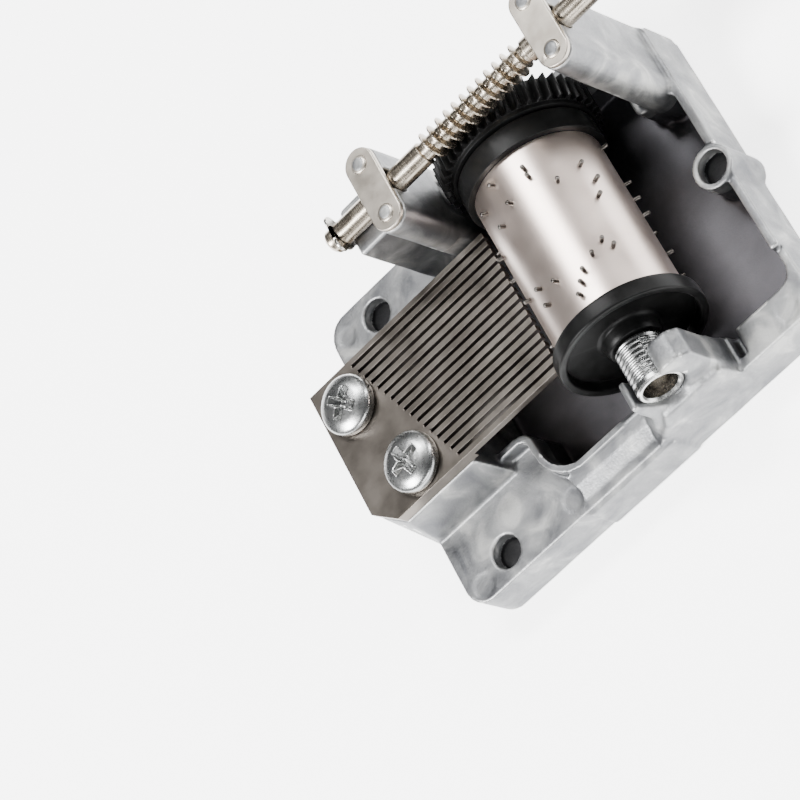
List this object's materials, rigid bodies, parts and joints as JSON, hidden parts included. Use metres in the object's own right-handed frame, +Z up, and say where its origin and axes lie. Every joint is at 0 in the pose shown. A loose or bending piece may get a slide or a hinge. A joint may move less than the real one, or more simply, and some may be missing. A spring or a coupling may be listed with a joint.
{
  "type": "cylinder music movement",
  "caption": "Hand-cranked cylinder music movement: a worm on the crank shaft turns a pinned drum that plucks a tuned steel comb, all on a cast base",
  "frame": {"origin": "centre of the cast base's underside", "axes": "+X along the comb teeth from root to far rim, +Y along the drum from the threaded bush to the worm wheel, +Z up"},
  "size_m": [0.0624, 0.0464, 0.0216],
  "materials": {
    "cast_zinc": "die-cast zinc alloy, satin with flow marks",
    "comb_steel": "ground hardened steel",
    "screw_zinc": "bright zinc plate",
    "lead": "dull lead",
    "damper": "thin film",
    "sleeve_nickel": "satin nickel plate",
    "black_plastic": "moulded acetal",
    "shaft_steel": "nickel-plated steel",
    "bush_zinc": "bright zinc plate",
    "brass_bush": "turned brass",
    "strap_nickel": "tumbled nickel plate",
    "clip_steel": "spring steel",
    "knob_plastic": "polished black plastic"
  },
  "bodies": {
    "base": {"base_casting": "cast_zinc", "comb": "comb_steel", "comb_screws": "screw_zinc", "tuning_leads": "lead", "tooth_dampers": "damper", "end_bush": "bush_zinc", "rear_bush": "brass_bush", "strap_left": "strap_nickel", "strap_right": "strap_nickel"},
    "drum": {"drum_sleeve": "sleeve_nickel", "drum_end_wheel": "black_plastic", "drum_gear": "black_plastic", "drum_arbor": "shaft_steel"},
    "crank": {"worm_shaft": "shaft_steel", "shaft_clip": "clip_steel", "crank_hub": "shaft_steel", "crank_arm": "strap_nickel", "crank_nut": "screw_zinc", "knob_pin": "shaft_steel"},
    "knob": {"crank_knob": "knob_plastic"}
  },
  "joints": [
    {"name": "drum_turn", "type": "hinge", "parent": "base", "child": "drum", "pos_m": [0.00727, 0, 0.0096], "axis": [0, 1, 0], "continuous": true},
    {"name": "crank_turn", "type": "hinge", "parent": "base", "child": "crank", "pos_m": [0, 0.0128, 0.0184], "axis": [1, 0, 0], "continuous": true},
    {"name": "knob_turn", "type": "hinge", "parent": "crank", "child": "knob", "pos_m": [0.03, 0.0263, 0.0184], "axis": [1, 0, 0], "continuous": true}
  ],
  "couplings": [
    {"joint": "drum_turn", "follows": "crank_turn", "ratio": -0.021739}
  ]
}
